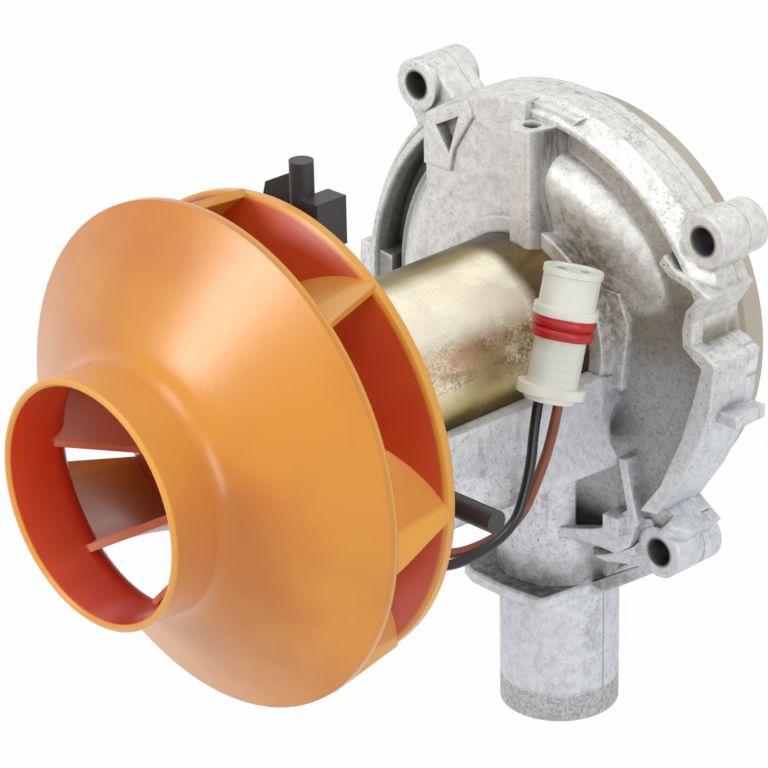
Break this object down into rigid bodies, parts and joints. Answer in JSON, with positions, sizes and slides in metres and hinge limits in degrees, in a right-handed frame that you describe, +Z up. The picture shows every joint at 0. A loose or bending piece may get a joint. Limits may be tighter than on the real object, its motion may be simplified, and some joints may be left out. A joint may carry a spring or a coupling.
{
  "type": "dc blower fan",
  "caption": "Motor-driven double blower: open moulded wheel on the front shaft end, side-channel wheel in a die-cast housing behind, intake stub below, sealed plug lead.",
  "frame": {"origin": "on the shaft axis, in the plane of the four ears' rear pads, which bear on the heater", "axes": "+Y along the shaft, out of the rear towards the heater; +Z up, away from the intake stub; the large wheel's inlet looks along -Y"},
  "size_m": [0.0969, 0.1305, 0.1323],
  "materials": {
    "orange_plastic": "satin glass-filled moulding",
    "zinc_plate": "yellow passivated zinc plate",
    "ferrite": "sintered, dull",
    "bearing_steel": "ground",
    "core_steel": "stacked laminations",
    "copper": "enamelled copper",
    "dark_plastic": "moulded, dull",
    "carbon": "pressed carbon",
    "spring_steel": "spring steel",
    "die_cast": "mottled die-cast skin",
    "black_rubber": "soft",
    "screw_steel": "plated",
    "wheel_cast": "fine cast",
    "beige_plastic": "satin, slightly translucent",
    "black_plastic": "fine grain",
    "black_wire": "insulated wire",
    "brown_wire": "insulated wire",
    "white_plastic": "milky moulding",
    "tin_brass": "tinned brass",
    "red_rubber": "ribbed seal"
  },
  "bodies": {
    "housing": {"front_housing": "die_cast", "rear_housing": "die_cast", "housing_gasket": "black_rubber", "housing_screws": "screw_steel", "motor_can": "zinc_plate", "magnet_left": "ferrite", "magnet_right": "ferrite", "front_end_plate": "zinc_plate", "bearing_front_outer": "bearing_steel", "bearing_rear_outer": "bearing_steel", "brush_plate": "dark_plastic", "brush_spring_upper": "spring_steel", "brush_spring_lower": "spring_steel", "cable_guide": "black_plastic", "lead_black": "black_wire", "lead_brown": "brown_wire", "connector_body": "white_plastic", "connector_contacts": "tin_brass", "connector_seal": "red_rubber"},
    "rotor": {"shaft": "bearing_steel", "armature_core": "core_steel", "windings": "copper", "commutator": "copper", "bearing_front_inner": "bearing_steel", "bearing_rear_inner": "bearing_steel", "impeller_wheel": "orange_plastic", "impeller_shroud": "orange_plastic", "impeller_clip": "spring_steel", "channel_wheel": "wheel_cast", "channel_wheel_clip": "spring_steel"},
    "brush_a": {"brush_upper": "carbon"},
    "brush_b": {"brush_lower": "carbon"},
    "cap": {"rear_cap": "beige_plastic"}
  },
  "joints": [
    {"name": "rotor_spin", "type": "hinge", "parent": "housing", "child": "rotor", "pos_m": [0, 0, 0], "axis": [0, 1, 0], "continuous": true},
    {"name": "brush_upper_slide", "type": "slide", "parent": "housing", "child": "brush_a", "axis": [0, 0, 1], "range_m": [0, 0.002], "stiffness_N_per_m": 100, "springref_m": -0.003, "deforming": ["brush_spring_upper"]},
    {"name": "brush_lower_slide", "type": "slide", "parent": "housing", "child": "brush_b", "axis": [0, 0, -1], "range_m": [0, 0.002], "stiffness_N_per_m": 100, "springref_m": -0.003, "deforming": ["brush_spring_lower"]},
    {"name": "cap_pull", "type": "slide", "parent": "housing", "child": "cap", "axis": [0, 1, 0], "range_m": [0, 0.02]}
  ]
}
